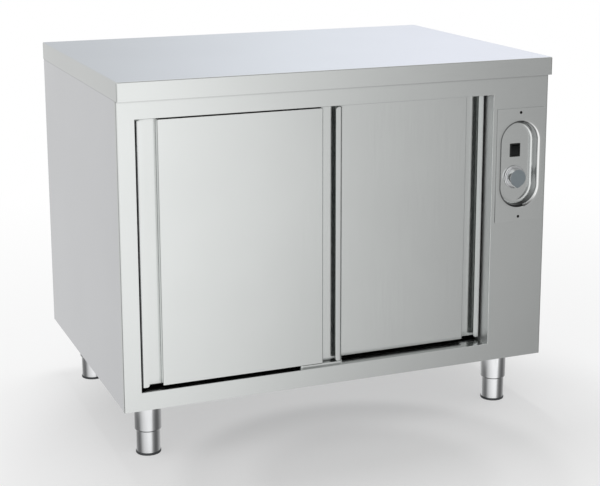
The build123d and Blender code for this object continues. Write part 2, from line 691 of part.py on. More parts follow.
def rocker():
    """Rocker with a hollowed face, stored with its lower end pressed in."""
    pivot_y = BOWL_FLOOR_Y - BEZEL_PROUD + ROCKER_PIVOT_DEPTH
    proud = ROCKER_PIVOT_DEPTH + BEZEL_PROUD / 2
    face = ThreePointArc((-proud, -ROCKER_HALF), (-proud / 2, 0), (-proud, ROCKER_HALF))
    rear = Polyline((-proud, ROCKER_HALF), (0, ROCKER_HALF), (ROCKER_PIVOT_DEPTH, 0),
                    (0, -ROCKER_HALF), (-proud, -ROCKER_HALF))
    body = along_x(make_face(face + rear), -ROCKER_WIDTH / 2, ROCKER_WIDTH / 2)
    pin_end = SWITCH_WIDTH / 2 - RUNNING_FIT
    body += rod_x(0, 0, PIVOT_RADIUS, -pin_end, pin_end)
    return Pos(PLATE_CENTRE_X, pivot_y, SWITCH_Z) * Rot(ROCKER_TILT, 0, 0) * body


def thermostat_body():
    """Thermostat behind the bowl's floor, its neck through the floor and bored for the spindle."""
    square = RectangleRounded(THERMOSTAT_SIZE, THERMOSTAT_SIZE, THERMOSTAT_CORNER)
    place = Pos(PLATE_CENTRE_X, KNOB_Z)
    body = along_y(place * square, BOWL_REAR_Y, BOWL_REAR_Y + THERMOSTAT_BODY)
    neck = rod_y(PLATE_CENTRE_X, KNOB_Z, NECK_RADIUS, BOWL_FLOOR_Y - NECK_PROUD, BOWL_REAR_Y + SHEET)
    depth = (BOWL_FLOOR_Y - 2 * NECK_PROUD, BOWL_FLOOR_Y + SPINDLE_BURIED + CLEAR)
    return body + neck - rod_y(PLATE_CENTRE_X, KNOB_Z, SPINDLE_RADIUS + RUNNING_FIT, *depth)


def knob_levels():
    """Y of the skirt's base, the top of its step and the knob's face."""
    base = BOWL_FLOOR_Y - KNOB_STANDOFF
    return base, base - SKIRT_BASE - SKIRT_STEP, FRONT_Y + KNOB_FACE_DEPTH


def knob_skirt():
    """Bright stepped ring that the knob's cap stands on."""
    base, step_top, _ = knob_levels()
    ring = rod_y(PLATE_CENTRE_X, KNOB_Z, SKIRT_RADIUS, base - SKIRT_BASE, base)
    ring += rod_y(PLATE_CENTRE_X, KNOB_Z, SKIRT_STEP_RADIUS, step_top, base)
    return ring - rod_y(PLATE_CENTRE_X, KNOB_Z, SKIRT_HOLE, step_top - SHEET, base + SHEET)


def thermostat_knob():
    """Drafted round cap that runs out to a pointer tip at the bottom."""
    _, step_top, face = knob_levels()
    height = step_top - face
    foot_radius = KNOB_RADIUS + height * tan(radians(KNOB_DRAFT))
    cone = Pos(0, 0, height / 2) * Cone(foot_radius, KNOB_RADIUS, height)
    tangent = acos(KNOB_RADIUS / KNOB_TIP)
    side = (KNOB_RADIUS * sin(tangent), -KNOB_RADIUS * cos(tangent))
    tip_half = KNOB_TIP_FLAT / 2
    tip = Polyline((-tip_half, -KNOB_TIP), (tip_half, -KNOB_TIP), side, (-side[0], side[1]), close=True)
    pointer = extrude(Pos(0, 0, height) * make_face(tip), amount=-height, taper=-KNOB_DRAFT)
    cap = chamfer((cone + pointer).faces().sort_by(Axis.Z)[-1].edges(), KNOB_FACE_EDGE)
    cap -= rod_z(0, 0, SPINDLE_RADIUS + RUNNING_FIT, -SHEET, SPINDLE_IN_KNOB + CLEAR)
    return Pos(PLATE_CENTRE_X, step_top, KNOB_Z) * Rot(90, 0, 0) * cap


def thermostat_spindle():
    _, step_top, _ = knob_levels()
    ends = (step_top - SPINDLE_IN_KNOB, BOWL_FLOOR_Y + SPINDLE_BURIED)
    return rod_y(PLATE_CENTRE_X, KNOB_Z, SPINDLE_RADIUS, *ends)


def thermostat_bulb():
    """Sensor bulb against the partition and the capillary that joins it to the thermostat."""
    start = (PLATE_CENTRE_X, BOWL_REAR_Y + THERMOSTAT_BODY, KNOB_Z)
    bulb_x = PARTITION_BACK_X + BULB_RADIUS + CLEAR
    halfway = (BULB_Y + start[1]) / 2
    route = Polyline(start, (PLATE_CENTRE_X, halfway, KNOB_Z),
                     (bulb_x, halfway + THERMOSTAT_SIZE, BULB_Z), (bulb_x, BULB_Y, BULB_Z))
    profile = Plane(route @ 0, z_dir=route % 0) * Circle(CAPILLARY_RADIUS)
    capillary = sweep(profile, path=route, transition=Transition.RIGHT)
    return capillary + rod_y(bulb_x, BULB_Z, BULB_RADIUS, BULB_Y - CAPILLARY_RADIUS, BULB_Y + BULB_LENGTH)


# Heating unit

def heater_places():
    """Y and Z of the two ends of the heating element, side by side above the impeller."""
    return [(FAN_Y + side * HEATER_ENDS / 2, FAN_Z + HEATER_HALF) for side in (-1, 1)]


def fan_duct():
    """Open box over the fan, with a flange on the partition and holes for shaft and element."""
    half = DUCT_SIZE / 2
    box_y = (FAN_Y - half, FAN_Y + half)
    box_z = (FAN_Z - half, FAN_Z + half)
    box = block((PARTITION_BACK_X, DUCT_BACK_X), box_y, box_z)
    duct = offset(box, amount=-SHEET, openings=box.faces().sort_by(Axis.X)[0])
    outer = DUCT_SIZE + 2 * DUCT_FLANGE
    brim = Rectangle(outer, outer) - Rectangle(DUCT_SIZE - SHEET, DUCT_SIZE - SHEET)
    duct += along_x(Pos(FAN_Y, FAN_Z) * brim, PARTITION_BACK_X, PARTITION_BACK_X + SHEET)
    through = (DUCT_BACK_X - 2 * SHEET, DUCT_BACK_X + SHEET)
    duct -= rod_x(FAN_Y, FAN_Z, 2 * FAN_SHAFT_RADIUS, *through)
    for y, z in heater_places():
        duct -= rod_x(y, z, HEATER_TUBE_RADIUS + CLEAR, *through)
    return duct


def heater_element():
    """Tubular element bent to a square round the impeller, its ends out through the duct."""
    x = PARTITION_BACK_X + DUCT_DEPTH / 2
    (start_y, top), (end_y, _) = heater_places()
    low = FAN_Z - HEATER_HALF
    near = FAN_Y - HEATER_HALF
    far = FAN_Y + HEATER_HALF
    route = Polyline((x + HEATER_LEG, start_y, top), (x, start_y, top), (x, near, top), (x, near, low),
                     (x, far, low), (x, far, top), (x, end_y, top), (x + HEATER_LEG, end_y, top))
    start = Plane(route @ 0, z_dir=route % 0)
    return sweep(start * Circle(HEATER_TUBE_RADIUS), path=route, transition=Transition.RIGHT)


def fan_motor():
    """Motor on the duct's rear wall with a blind bore for the shaft."""
    motor = rod_x(FAN_Y, FAN_Z, MOTOR_RADIUS, DUCT_BACK_X, DUCT_BACK_X + MOTOR_LENGTH)
    bore_end = DUCT_BACK_X + FAN_SHAFT_BURIED + CLEAR
    return motor - rod_x(FAN_Y, FAN_Z, FAN_SHAFT_RADIUS + RUNNING_FIT, DUCT_BACK_X - SHEET, bore_end)


def fan_impeller():
    """Open wheel: back disc, hub and swept blades."""
    front = PARTITION_BACK_X + IMPELLER_GAP
    rear = front + IMPELLER_WIDTH
    disc = rod_x(0, 0, IMPELLER_RADIUS, rear - IMPELLER_SHEET, rear)
    wheel = disc + rod_x(0, 0, HUB_RADIUS, rear - 2 * HUB_RADIUS, rear)
    length = IMPELLER_RADIUS - IMPELLER_SHEET - BLADE_ROOT
    blade = Rot(BLADE_SWEEP, 0, 0) * block((front, rear), (0, length), (0, IMPELLER_SHEET))
    for i in range(BLADE_COUNT):
        wheel += Rot(360 / BLADE_COUNT * i, 0, 0) * Pos(0, BLADE_ROOT, 0) * blade
    wheel -= rod_x(0, 0, FAN_SHAFT_RADIUS + RUNNING_FIT, front, rear + SHEET)
    return Pos(0, FAN_Y, FAN_Z) * wheel


def fan_shaft():
    start = PARTITION_BACK_X + IMPELLER_GAP + IMPELLER_WIDTH - 2 * HUB_RADIUS
    return rod_x(FAN_Y, FAN_Z, FAN_SHAFT_RADIUS, start, DUCT_BACK_X + FAN_SHAFT_BURIED)


# Wiring

def terminal_block():
    """Row of terminals with walls between the ways."""
    floor = PAN_Z + SHEET
    half = TERMINAL_LENGTH / 2
    strip = block((PLATE_CENTRE_X - TERMINAL_WIDTH / 2, PLATE_CENTRE_X + TERMINAL_WIDTH / 2),
                  (TERMINAL_Y - half, TERMINAL_Y + half), (floor, floor + TERMINAL_HEIGHT))
    pitch = TERMINAL_LENGTH / TERMINAL_WAYS
    for way in range(TERMINAL_WAYS):
        y = TERMINAL_Y - half + (way + 0.5) * pitch
        well = (y - pitch / 2 + SHEET, y + pitch / 2 - SHEET)
        for side in (-1, 1):
            edge = PLATE_CENTRE_X + side * TERMINAL_WIDTH / 2
            inner = edge - side * TERMINAL_WIDTH / 3
            strip -= block((min(edge, inner), max(edge, inner)), well,
                           (floor + TERMINAL_HEIGHT / 2, floor + TERMINAL_HEIGHT))
    return strip


def wiring_loom():
    """Bundle from the terminal block up the column and forward to the switch."""
    start_z = PAN_Z + SHEET + TERMINAL_HEIGHT
    switch_rear = BOWL_FLOOR_Y + SWITCH_BODY
    route = Polyline((PLATE_CENTRE_X, TERMINAL_Y, start_z), (PLATE_CENTRE_X, TERMINAL_Y, SWITCH_Z),
                     (PLATE_CENTRE_X, switch_rear, SWITCH_Z))
    profile = Plane(route @ 0, z_dir=route % 0) * Circle(LOOM_RADIUS)
    return sweep(profile, path=route, transition=Transition.RIGHT)


def cable_gland():
    """Bored gland through the base pan: hexagon and round nut below, lock nut above."""
    pan_top = PAN_Z + SHEET
    lock_nut = GLAND_ABOVE / 3
    bottom = PAN_Z - GLAND_BELOW
    gland = rod_z(0, 0, GLAND_THREAD, PAN_Z - SHEET, pan_top + GLAND_ABOVE)
    gland += along_z(RegularPolygon(GLAND_HEX, 6), PAN_Z - GLAND_BELOW / 3, PAN_Z)
    gland += along_z(RegularPolygon(GLAND_HEX, 6), pan_top, pan_top + lock_nut)
    gland += rod_z(0, 0, GLAND_DOME, bottom, PAN_Z - GLAND_BELOW / 3)
    gland -= rod_z(0, 0, GLAND_BORE, bottom - SHEET, pan_top + GLAND_ABOVE + SHEET)
    return Pos(PLATE_CENTRE_X, GLAND_Y, 0) * gland


# Legs and feet

def turned(outline):
    """Solid turned about the Z axis from a half section in X and Z."""
    return revolve(Plane.XZ * make_face(Polyline(*outline, close=True)), Axis.Z)


def leg_sleeve():
    """Thick tube that guides the foot tube, closed at the top, with a stud through the base pan."""
    bore = TUBE_RADIUS + CLEAR
    cap = PAN_Z - SLEEVE_CAP
    stud_top = PAN_Z + STUD_LENGTH
    outline = [(0, stud_top), (STUD_RADIUS, stud_top), (STUD_RADIUS, PAN_Z), (SLEEVE_RADIUS, PAN_Z),
               (SLEEVE_RADIUS, SLEEVE_BOTTOM + SLEEVE_EDGE), (SLEEVE_RADIUS - SLEEVE_EDGE, SLEEVE_BOTTOM),
               (bore, SLEEVE_BOTTOM), (bore, cap), (0, cap)]
    return turned(outline)


def leg_sleeves():
    return Compound([Pos(x, y, 0) * leg_sleeve() for x, y in leg_places().values()])


def leg_mounts():
    """Threaded plates on the base pan that the leg studs screw into."""
    floor = PAN_Z + SHEET
    ring = Rectangle(LEG_PLATE_SIZE, LEG_PLATE_SIZE) - Circle(STUD_RADIUS + RUNNING_FIT)
    plate = along_z(ring, floor, floor + LEG_PLATE)
    return Compound([Pos(x, y, 0) * plate for x, y in leg_places().values()])


def foot_tube():
    """Lower leg, closed at both ends, that slides in the sleeve."""
    return rod_z(0, 0, TUBE_RADIUS, PAD_HEIGHT, TUBE_TOP)


def foot_pad():
    """Round pad under the tube."""
    return rod_z(0, 0, PAD_RADIUS, 0, PAD_HEIGHT)


def all_parts():
    parts = {
        "worktop_skin": worktop_shell(),
        "worktop_core": worktop_core(),
        "worktop_stiffeners": worktop_stiffeners(),
        "front_frame": front_frame(),
        "left_side_panel": side_panel(),
        "right_side_panel": mirror(side_panel(), about=Plane.YZ),
        "back_panel": back_panel(),
        "base_pan": base_pan(),
        "left_liner": left_liner(),
        "partition": partition(),
        "rear_liner": rear_liner(),
        "ceiling_liner": ceiling_liner(),
        "deck": deck(),
        "insulation": insulation(),
        "shelf": shelf(),
        "shelf_rails": shelf_rails(),
        "top_track": top_track(),
        "door_stops": door_stops(),
        "bottom_guide": bottom_guide(),
        "control_plate": control_plate(),
        "switch_housing": switch_housing(),
        "rocker": rocker(),
        "thermostat_body": thermostat_body(),
        "thermostat_bulb": thermostat_bulb(),
        "thermostat_spindle": thermostat_spindle(),
        "thermostat_knob": thermostat_knob(),
        "knob_skirt": knob_skirt(),
        "fan_duct": fan_duct(),
        "heater_element": heater_element(),
        "fan_motor": fan_motor(),
        "fan_impeller": fan_impeller(),
        "fan_shaft": fan_shaft(),
        "terminal_block": terminal_block(),
        "wiring_loom": wiring_loom(),
        "cable_gland": cable_gland(),
        "leg_mounts": leg_mounts(),
        "leg_sleeves": leg_sleeves(),
    }
    doors = (("front_door", FRONT_DOOR_X, FRONT_DOOR_Y), ("rear_door", REAR_DOOR_X, REAR_DOOR_Y))
    for name, x, y in doors:
        lane = Pos(x, y, 0)
        parts[f"{name}_skin"] = lane * door_skin()
        parts[f"{name}_liner"] = lane * door_liner()
        parts[f"{name}_core"] = lane * door_core()
        parts[f"{name}_hangers"] = lane * door_hangers()
        for side, place in hanger_places().items():
            parts[f"{name}_roller_{side}"] = lane * roller(place)
    for corner, (x, y) in leg_places().items():
        parts[f"foot_{corner}"] = Pos(x, y, 0) * foot_tube()
        parts[f"foot_pad_{corner}"] = Pos(x, y, 0) * foot_pad()
    return parts


os.makedirs("parts", exist_ok=True)
for node, shape in all_parts().items():
    export_step(shape, f"parts/{node}.step")
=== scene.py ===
import bmesh
import bpy
import numpy as np
from math import acos, cos, pi, radians, sin, tan
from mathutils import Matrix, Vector
from mathutils.geometry import tessellate_polygon


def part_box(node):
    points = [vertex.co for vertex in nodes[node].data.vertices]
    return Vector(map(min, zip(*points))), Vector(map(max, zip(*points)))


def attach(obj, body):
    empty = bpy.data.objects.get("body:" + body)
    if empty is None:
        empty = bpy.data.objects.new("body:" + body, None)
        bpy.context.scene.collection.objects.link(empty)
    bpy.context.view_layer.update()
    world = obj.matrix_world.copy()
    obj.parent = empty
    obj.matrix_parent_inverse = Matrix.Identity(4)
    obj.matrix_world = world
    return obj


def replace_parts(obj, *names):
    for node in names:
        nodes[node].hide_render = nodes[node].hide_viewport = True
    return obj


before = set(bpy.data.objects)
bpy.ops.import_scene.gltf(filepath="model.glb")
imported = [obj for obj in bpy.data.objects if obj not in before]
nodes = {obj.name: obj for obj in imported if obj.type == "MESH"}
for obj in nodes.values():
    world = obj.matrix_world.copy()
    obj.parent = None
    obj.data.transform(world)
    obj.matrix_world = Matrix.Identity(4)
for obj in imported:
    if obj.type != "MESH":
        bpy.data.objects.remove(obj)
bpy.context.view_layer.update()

# View: the camera stands in front of the cabinet on its left, higher than the worktop, and looks
# down at it through a long lens. The shifts keep the cabinet in the middle of the view.
CAMERA_PITCH = 12.283
CAMERA_YAW = 22.411
lens = bpy.data.cameras.new("view")
lens.lens = 85.63
lens.sensor_width = 36
lens.shift_x = -0.0278
lens.shift_y = -0.1168
camera = bpy.data.objects.new("view", lens)
camera.location = (-1.19795, -3.08181, 1.25514)
camera.rotation_euler = (radians(90 - CAMERA_PITCH), 0, radians(-CAMERA_YAW))
bpy.context.scene.collection.objects.link(camera)
bpy.context.scene.camera = camera


# Worktop: stainless sheet folded down on four sides over a glued board, with channels under it.
# The sheet is ground along its length, which leaves fine straight scratches.

def ease(name, radius=0.0):
    """Joins a node's loose triangles, rounds its edges and shades it smooth between creases."""
    piece = nodes[name]
    mesh = piece.data
    if "custom_normal" in mesh.attributes:
        mesh.attributes.remove(mesh.attributes["custom_normal"])
    mesh.polygons.foreach_set("use_smooth", np.ones(len(mesh.polygons), bool))
    weld = piece.modifiers.new("weld", "WELD")
    weld.merge_threshold = 2e-6
    if radius:
        bevel = piece.modifiers.new("edges", "BEVEL")
        bevel.width = radius
        bevel.segments = 2
        bevel.limit_method = "ANGLE"
        bevel.angle_limit = radians(60)
    split = piece.modifiers.new("creases", "EDGE_SPLIT")
    split.split_angle = radians(28)
    keep_flats_flat(piece)
    return piece


def keep_flats_flat(piece):
    """Lets the largest face at a point set its normal, so that a bend doesn't tilt the flat beside
    it."""
    flats = piece.modifiers.new("flats", "WEIGHTED_NORMAL")
    flats.mode = "FACE_AREA"
    flats.weight = 80
    flats.keep_sharp = True


def wear(piece, material):
    """Gives a piece one material."""
    piece.data.materials.clear()
    piece.data.materials.append(material)
    return piece


def node_maker(material):
    """Returns a function that adds a node with its settings, and one that links two sockets."""
    tree = material.node_tree

    def add(kind, **settings):
        made = tree.nodes.new(kind)
        for key, value in settings.items():
            if key in ("operation", "data_type", "blend_type"):
                setattr(made, key, value)
            else:
                made.inputs[key].default_value = value
        return made

    return add, tree.links.new


def ground_steel(name, tone, grain="X", rough=0.19, streak=0.03, mottle=0.02, crevice=0.35,
                 unshaded_at=0.6, reach=0.025, shade_band=None):
    """Stainless or zinc-coated sheet. Fine noise drawn out along the grain shades the colour, the
    roughness and a shallow relief; a slow noise mottles the colour like handling does. In deep folds
    and gaps the colour falls to the crevice share, which is painted shade: openness to the
    surroundings within reach, up to an unshaded level, sets how far. A painted band of shade, if
    any, is (dark, clear, share): the colour is whole at the clear height and falls to the share on
    the way to the dark one, which may lie below or above."""
    material = bpy.data.materials.new(name)
    material.use_nodes = True
    add, link = node_maker(material)
    shader = material.node_tree.nodes["Principled BSDF"]
    shader.inputs["Metallic"].default_value = 1.0
    place = add("ShaderNodeTexCoord")
    stretch = {"X": (14, 2600, 2600), "Y": (2600, 14, 2600), "Z": (2600, 2600, 14)}[grain]
    along = add("ShaderNodeMapping", Scale=stretch)
    link(place.outputs["Object"], along.inputs["Vector"])
    scratches = add("ShaderNodeTexNoise", Scale=1.0, Detail=2.0, Roughness=0.6)
    link(along.outputs["Vector"], scratches.inputs["Vector"])
    cloud = add("ShaderNodeTexNoise", Scale=3.5, Detail=3.0, Roughness=0.55)
    link(place.outputs["Object"], cloud.inputs["Vector"])
    fine = add("ShaderNodeMapRange", **{"From Min": 0.3, "From Max": 0.7, "To Min": 1 - streak,
                                        "To Max": 1 + streak})
    link(scratches.outputs["Fac"], fine.inputs["Value"])
    slow = add("ShaderNodeMapRange", **{"From Min": 0.3, "From Max": 0.7, "To Min": 1 - mottle,
                                        "To Max": 1 + mottle})
    link(cloud.outputs["Fac"], slow.inputs["Value"])
    both = add("ShaderNodeMath", operation="MULTIPLY")
    link(fine.outputs["Result"], both.inputs[0])
    link(slow.outputs["Result"], both.inputs[1])
    # painted shade: the colour darkens in folds and gaps, the more so the more they are closed in within
    # reach
    openness = add("ShaderNodeAmbientOcclusion", Distance=reach)
    openness.samples = 6
    crevice_shade = add("ShaderNodeMapRange", **{"From Min": 0.05, "From Max": unshaded_at, "To Min": crevice})
    link(openness.outputs["AO"], crevice_shade.inputs["Value"])
    grain_and_shade = add("ShaderNodeMath", operation="MULTIPLY")
    link(both.outputs["Value"], grain_and_shade.inputs[0])
    link(crevice_shade.outputs["Result"], grain_and_shade.inputs[1])
    # painted band of shade: the colour darkens towards a given height
    if shade_band:
        at = add("ShaderNodeSeparateXYZ")
        link(place.outputs["Object"], at.inputs["Vector"])
        shade_level = add("ShaderNodeMapRange", **dict(zip(("From Min", "From Max", "To Min"), shade_band)))
        link(at.outputs["Z"], shade_level.inputs["Value"])
        clear = grain_and_shade
        grain_and_shade = add("ShaderNodeMath", operation="MULTIPLY")
        link(clear.outputs["Value"], grain_and_shade.inputs[0])
        link(shade_level.outputs["Result"], grain_and_shade.inputs[1])
    shade = add("ShaderNodeVectorMath", operation="SCALE")
    shade.inputs[0].default_value = tone
    link(grain_and_shade.outputs["Value"], shade.inputs["Scale"])
    link(shade.outputs["Vector"], shader.inputs["Base Color"])
    gloss = add("ShaderNodeMapRange", **{"From Min": 0.25, "From Max": 0.75, "To Min": rough - 0.03,
                                         "To Max": rough + 0.04})
    link(scratches.outputs["Fac"], gloss.inputs["Value"])
    link(gloss.outputs["Result"], shader.inputs["Roughness"])
    relief = add("ShaderNodeBump", Strength=0.03, Distance=0.0002)
    link(scratches.outputs["Fac"], relief.inputs["Height"])
    link(relief.outputs["Normal"], shader.inputs["Normal"])
    return material


STEEL_TONE = (0.79, 0.81, 0.80)
worktop_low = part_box("worktop_skin")[0]
steel_x = ground_steel("ground_steel_lengthwise", STEEL_TONE, "X")
# a dark band on the front frame right under the worktop's edge is a painted shadow line of the seam
steel_z = ground_steel("ground_steel_upright", STEEL_TONE, "Z",
                       shade_band=(worktop_low.z - 0.002, worktop_low.z - 0.006, 0.8))
inner_steel = ground_steel("inner_steel", (0.70, 0.71, 0.72), "Z", rough=0.33)
wear(ease("worktop_skin"), steel_x)
zinc = ground_steel("zinc_coated_steel", (0.60, 0.62, 0.64), "X", rough=0.42, mottle=0.12)
wear(ease("worktop_stiffeners"), zinc)


def soft_solid(name, tone, rough, grain_scale, contrast, bump=0.25, stretch=(1, 1, 1)):
    """Moulded, fibrous or wooden stuff: noise of one grain size shades the colour, the roughness
    and the relief."""
    material = bpy.data.materials.new(name)
    material.use_nodes = True
    add, link = node_maker(material)
    shader = material.node_tree.nodes["Principled BSDF"]
    place = add("ShaderNodeTexCoord")
    along = add("ShaderNodeMapping", Scale=stretch)
    link(place.outputs["Object"], along.inputs["Vector"])
    grain = add("ShaderNodeTexNoise", Scale=grain_scale, Detail=4.0, Roughness=0.6)
    link(along.outputs["Vector"], grain.inputs["Vector"])
    shade = add("ShaderNodeMix", data_type="RGBA")
    shade.inputs[6].default_value = (*(c * (1 - contrast) for c in tone), 1)
    shade.inputs[7].default_value = (*(min(1, c * (1 + contrast)) for c in tone), 1)
    link(grain.outputs["Fac"], shade.inputs["Factor"])
    link(shade.outputs[2], shader.inputs["Base Color"])
    gloss = add("ShaderNodeMapRange", **{"To Min": rough - 0.06, "To Max": rough + 0.08})
    link(grain.outputs["Fac"], gloss.inputs["Value"])
    link(gloss.outputs["Result"], shader.inputs["Roughness"])
    relief = add("ShaderNodeBump", Strength=bump, Distance=0.0004)
    link(grain.outputs["Fac"], relief.inputs["Height"])
    link(relief.outputs["Normal"], shader.inputs["Normal"])
    return material


wear(nodes["worktop_core"], soft_solid("particle_board", (0.55, 0.42, 0.28), 0.8, 160, 0.3))


# Body: front frame with the door opening, two side panels, a back panel and a base pan, all of
# folded stainless sheet, screwed together at the rear.

frame_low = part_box("front_frame")[0]
frame_sheet = wear(ease("front_frame"), steel_z).data
frame_sheet.materials.append(
    ground_steel("turned_in_flanges", (0.80, 0.81, 0.81), "Z", rough=0.5, crevice=1.0))
facing = np.zeros(len(frame_sheet.polygons) * 3)
frame_sheet.polygons.foreach_get("normal", facing)
centres = np.zeros(len(frame_sheet.polygons) * 3)
frame_sheet.polygons.foreach_get("center", centres)
# the jambs are the faces that look sideways, behind the bend and inside the frame's outer edges;
# they are the same sheet, but lighter and duller here, in place of light that falls in at the gap
FRONT_BEND = 0.002
sideways = np.abs(facing[::3]) > 0.9
inside = np.abs(centres[::3]) < -frame_low.x - 0.019
on_jamb = sideways & (centres[1::3] > frame_low.y + FRONT_BEND) & inside
frame_sheet.polygons.foreach_set("material_index", on_jamb.astype(int))
# the side panels get a painted shadow line right under the worktop's edge
side_steel = ground_steel("ground_steel_sides", (0.80, 0.81, 0.83), "Z",
                          shade_band=(worktop_low.z, worktop_low.z - 0.002, 0.25))
for panel in ("left_side_panel", "right_side_panel"):
    wear(ease(panel), side_steel)
wear(ease("back_panel", 0.0004), ground_steel("back_sheet", (0.68, 0.70, 0.71), "Z", rough=0.36))
wear(ease("base_pan"), zinc)


def grid_mesh(name, points):
    """Mesh of quads over a grid of points, array of (rows u, columns v, 3): point (u, v) is joined
    to the next along v and along u, and the last row to the first."""
    rows, columns = points.shape[:2]
    uu, vv = (a.ravel() for a in np.meshgrid(np.arange(rows), np.arange(columns - 1), indexing="ij"))
    next_u, next_v = (uu + 1) % rows, vv + 1
    quads = np.stack([uu * columns + vv, next_u * columns + vv, next_u * columns + next_v,
                      uu * columns + next_v], 1)
    mesh = bpy.data.meshes.new(name)
    mesh.from_pydata(points.reshape(-1, 3).tolist(), [], quads.tolist())
    return mesh


def turned(name, profile, centre, axis, rounds=96, flip=False):
    """Surface of revolution: point (r, h) of the profile goes to centre + r (cos t, sin t) across
    the axis + h along it, for t all the way round. Repeated points at r = 0 close the poles."""
    t = np.linspace(0, 2 * pi, rounds, endpoint=False)[:, None]
    r, h = np.array(profile, float).T[:, None, :]
    across = {"X": (1, 2, 0), "Y": (2, 0, 1), "Z": (0, 1, 2)}[axis]
    points = np.zeros((rounds, len(profile), 3))
    points[..., across[0]] = r * np.cos(t)
    points[..., across[1]] = r * np.sin(t)
    points[..., across[2]] = h + 0 * t
    points += np.array(centre)
    return finish_piece(name, grid_mesh(name, points[::-1] if flip else points))


def finish_piece(name, mesh, crease=35):
    """Merges doubled points of a new mesh, shades it smooth between creases and links it."""
    work = bmesh.new()
    work.from_mesh(mesh)
    bmesh.ops.remove_doubles(work, verts=work.verts, dist=1e-7)
    work.to_mesh(mesh)
    work.free()
    mesh.polygons.foreach_set("use_smooth", np.ones(len(mesh.polygons), bool))
    piece = bpy.data.objects.new(name, mesh)
    bpy.context.scene.collection.objects.link(piece)
    split = piece.modifiers.new("creases", "EDGE_SPLIT")
    split.split_angle = radians(crease)
    return piece


def rounded(corners, radius, steps=4):
    """Profile with each inner corner replaced by an arc: points on the quadratic curve from one
    side of the corner to the other, through the corner's own pull."""
    corners = np.array(corners, float)
    out = [corners[0]]
    for before, corner, after in zip(corners, corners[1:], corners[2:]):
        a = before - corner
        b = after - corner
        reach = min(radius, np.linalg.norm(a) / 2.01, np.linalg.norm(b) / 2.01)
        start = corner + a / np.linalg.norm(a) * reach
        end = corner + b / np.linalg.norm(b) * reach
        s = np.linspace(0, 1, steps + 1)[:, None]
        out.extend((1 - s) ** 2 * start + 2 * s * (1 - s) * corner + s ** 2 * end)
    out.append(corners[-1])
    return out


screw_steel = ground_steel("screw_steel", (0.55, 0.56, 0.57), "X", rough=0.25)


def raised_screw(name, x, z, seat, way, radius=0.003):
    """Head of a raised countersunk screw: a quarter ellipse turned about Y, radius wide and 0.45 of
    that high, on its seat. Way is 1 for a head that looks to +Y and -1 for one that looks to -Y."""
    height = way * 0.45 * radius
    sunk = -way * 0.0001
    dome = [(radius * cos(a), height * sin(a)) for a in np.linspace(0, pi / 2, 7)[:-1]]
    profile = [(0, sunk), (radius, sunk), *dome, (0, height)]
    return turned(name, profile, (x, seat, z), "Y", rounds=24, flip=way > 0)


SCREW_FROM_SIDE = 0.0075
SCREW_FROM_END = 0.03
back_low, back_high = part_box("back_panel")
for side, x in (("left", back_low.x + SCREW_FROM_SIDE), ("right", back_high.x - SCREW_FROM_SIDE)):
    for row, z in enumerate(np.linspace(back_low.z + SCREW_FROM_END, back_high.z - SCREW_FROM_END, 4)):
        head = raised_screw(f"back_screw_{side}_{row + 1}", x, z, back_high.y, 1)
        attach(wear(head, screw_steel), "cabinet")


# Heated cavity: stainless walls, floor and ceiling, a plain shelf on two angles, and mineral wool
# behind the walls.

for wall in ("left_liner", "rear_liner", "ceiling_liner", "partition"):
    wear(ease(wall), inner_steel)
shelf_steel = ground_steel("shelf_steel", (0.72, 0.73, 0.74), "X", rough=0.3)
for level in ("deck", "shelf", "shelf_rails"):
    wear(ease(level), shelf_steel)
wear(nodes["insulation"], soft_solid("mineral_wool", (0.62, 0.55, 0.33), 0.95, 90, 0.35, 0.8, (1, 1, 6)))


# Doors: each a folded outer sheet with a grip channel at both ends, an inner sheet, a foam core and
# two hangers. The outer sheet is ground from top to bottom.

for door in ("front_door", "rear_door"):
    wear(ease(f"{door}_skin"), steel_z)
    wear(ease(f"{door}_liner"), inner_steel)
    wear(ease(f"{door}_hangers"), zinc)
door_foam = soft_solid("door_foam", (0.80, 0.74, 0.52), 0.9, 500, 0.12, 0.5)
for door in ("front_door", "rear_door"):
    wear(nodes[f"{door}_core"], door_foam)


# Track and guide: a double stainless track under the frame's top, nylon rollers on its ledges,
# rubber stops at its ends and a folded steel guide on the sill, between the doors.

wear(ease("top_track"), inner_steel)
nylon = soft_solid("nylon", (0.62, 0.63, 0.62), 0.45, 900, 0.05, 0.1)
for door in ("front_door", "rear_door"):
    for side in ("left", "right"):
        wear(ease(f"{door}_roller_{side}"), nylon)
wear(ease("bottom_guide", 0.0004), steel_x)
wear(ease("door_stops"), soft_solid("black_rubber", (0.03, 0.03, 0.03), 0.75, 700, 0.2, 0.2))


# Control plate: thin stainless plate with a deep oval bowl pressed into it, held by two small dark
# screws above and below the bowl.

plate_low, plate_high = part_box("control_plate")
PLATE_X = (plate_low.x + plate_high.x) / 2
PLATE_Z = (plate_low.z + plate_high.z) / 2
PLATE_FACE = plate_low.y
PLATE_THICKNESS = 0.0012
BOWL_Z = PLATE_Z + 0.0015
BOWL_RADIUS = 0.0462
BOWL_STRAIGHT = 0.05
BOWL_DEPTH = 0.0225
SWITCH_Z = 0.6165
SWITCH_HOLE = (0.0113, 0.0138)
KNOB_Z = 0.5545
NECK_RADIUS = 0.0053
SCREW_REACH = 0.12
plate_steel = ground_steel("plate_steel", (0.83, 0.85, 0.84), "X", rough=0.12, crevice=0.85)
BOWL_BOTTOM = BOWL_Z - BOWL_STRAIGHT - BOWL_RADIUS
